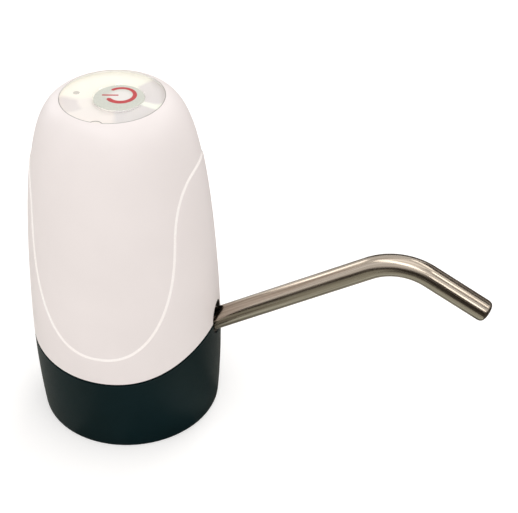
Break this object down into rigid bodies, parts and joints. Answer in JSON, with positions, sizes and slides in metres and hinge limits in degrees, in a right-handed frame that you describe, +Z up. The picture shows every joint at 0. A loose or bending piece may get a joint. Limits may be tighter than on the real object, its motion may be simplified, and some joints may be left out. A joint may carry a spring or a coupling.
{
  "type": "electric water jug pump",
  "caption": "Rechargeable pump that sits on a water jug's neck: tapered white body on a black collar, push button on top and a bent steel spout that swivels.",
  "frame": {"origin": "centre of the jug neck's mouth, on the plane of the bottom rim", "axes": "+Z up along the body, +X towards the spout, +Y to the left seen from behind the spout"},
  "size_m": [0.1687, 0.07, 0.13],
  "materials": {
    "white_shell": "satin moulded ABS",
    "black_collar": "satin moulded ABS",
    "seal_silicone": "translucent silicone",
    "black_rubber": "moulded silicone",
    "inner_plastic": "moulded",
    "pump_plastic": "moulded acetal",
    "clear_lens": "clear moulded",
    "silver_film": "metallised film",
    "button_plastic": "satin silver paint",
    "red_print": "pad printed",
    "light_guide": "clear moulded",
    "circuit_board": "solder mask",
    "chips": "moulded epoxy",
    "screw_steel": "zinc plated",
    "cell_wrap": "PVC wrapped",
    "nickel": "nickel strip",
    "lead_wire": "PVC insulated wire",
    "motor_steel": "zinc plated",
    "motor_plastic": "moulded nylon",
    "magnet": "ferrite",
    "bronze": "sintered",
    "laminations": "stacked sheet",
    "copper": "enamelled wire",
    "spout_steel": "drawn stainless, lightly brushed",
    "hose_silicone": "translucent silicone"
  },
  "bodies": {
    "housing": {"upper_shell": "white_shell", "base_collar": "black_collar", "neck_seal": "seal_silicone", "chassis": "inner_plastic", "housing_screws": "screw_steel", "top_lens": "clear_lens", "lens_film": "silver_film", "light_pipe": "light_guide", "indicator_led": "light_guide", "control_board": "circuit_board", "board_parts": "chips", "board_screws": "screw_steel", "switch_base": "chips", "battery_cell": "cell_wrap", "battery_tabs": "nickel", "battery_holder": "inner_plastic", "holder_screws": "screw_steel", "battery_leads": "lead_wire", "motor_can": "motor_steel", "motor_end_cap": "motor_plastic", "motor_magnets": "magnet", "motor_bushes": "bronze", "motor_brushes": "bronze", "motor_terminals": "bronze", "motor_leads": "lead_wire", "pump_body": "pump_plastic", "pump_cover": "inner_plastic", "pump_screws": "screw_steel", "idler_pin": "screw_steel", "shaft_seal": "black_rubber", "inlet_barb": "inner_plastic", "outlet_hose": "hose_silicone", "hose_clips": "screw_steel", "spout_socket": "inner_plastic", "socket_screws": "screw_steel", "charging_board": "circuit_board", "charging_socket": "nickel", "charging_screws": "screw_steel", "charging_leads": "lead_wire"},
    "button": {"button_cap": "button_plastic", "button_mark": "red_print", "switch_plunger": "chips"},
    "rotor": {"motor_shaft": "screw_steel", "armature": "laminations", "windings": "copper", "commutator": "copper", "drive_gear": "pump_plastic"},
    "idler_gear": {"driven_gear": "pump_plastic"},
    "sleeve": {"spout_sleeve": "black_rubber"},
    "spout": {"spout_tube": "spout_steel"},
    "port_flap": {"port_cover": "white_shell"}
  },
  "joints": [
    {"name": "button_press", "type": "slide", "parent": "housing", "child": "button", "axis": [0, 0, -1], "range_m": [0, 0.0008], "stiffness_N_per_m": 1800},
    {"name": "rotor_spin", "type": "hinge", "parent": "housing", "child": "rotor", "pos_m": [-0.006, 0.005, 0.03], "axis": [0, 0, 1], "continuous": true},
    {"name": "idler_spin", "type": "hinge", "parent": "housing", "child": "idler_gear", "pos_m": [-0.006, -0.005, 0.03], "axis": [0, 0, 1], "continuous": true},
    {"name": "spout_pull", "type": "slide", "parent": "housing", "child": "sleeve", "axis": [0.866, 0, 0.5], "range_m": [0, 0.02]},
    {"name": "spout_swivel", "type": "hinge", "parent": "sleeve", "child": "spout", "pos_m": [0.035, 0, 0.0404], "axis": [0.866, 0, 0.5], "continuous": true},
    {"name": "port_flap_hinge", "type": "hinge", "parent": "housing", "child": "port_flap", "pos_m": [-0.03485, 0, 0.0436], "axis": [0, -1, 0], "range_deg": [0, 110]}
  ],
  "couplings": [
    {"joint": "idler_spin", "follows": "rotor_spin", "ratio": -1}
  ]
}
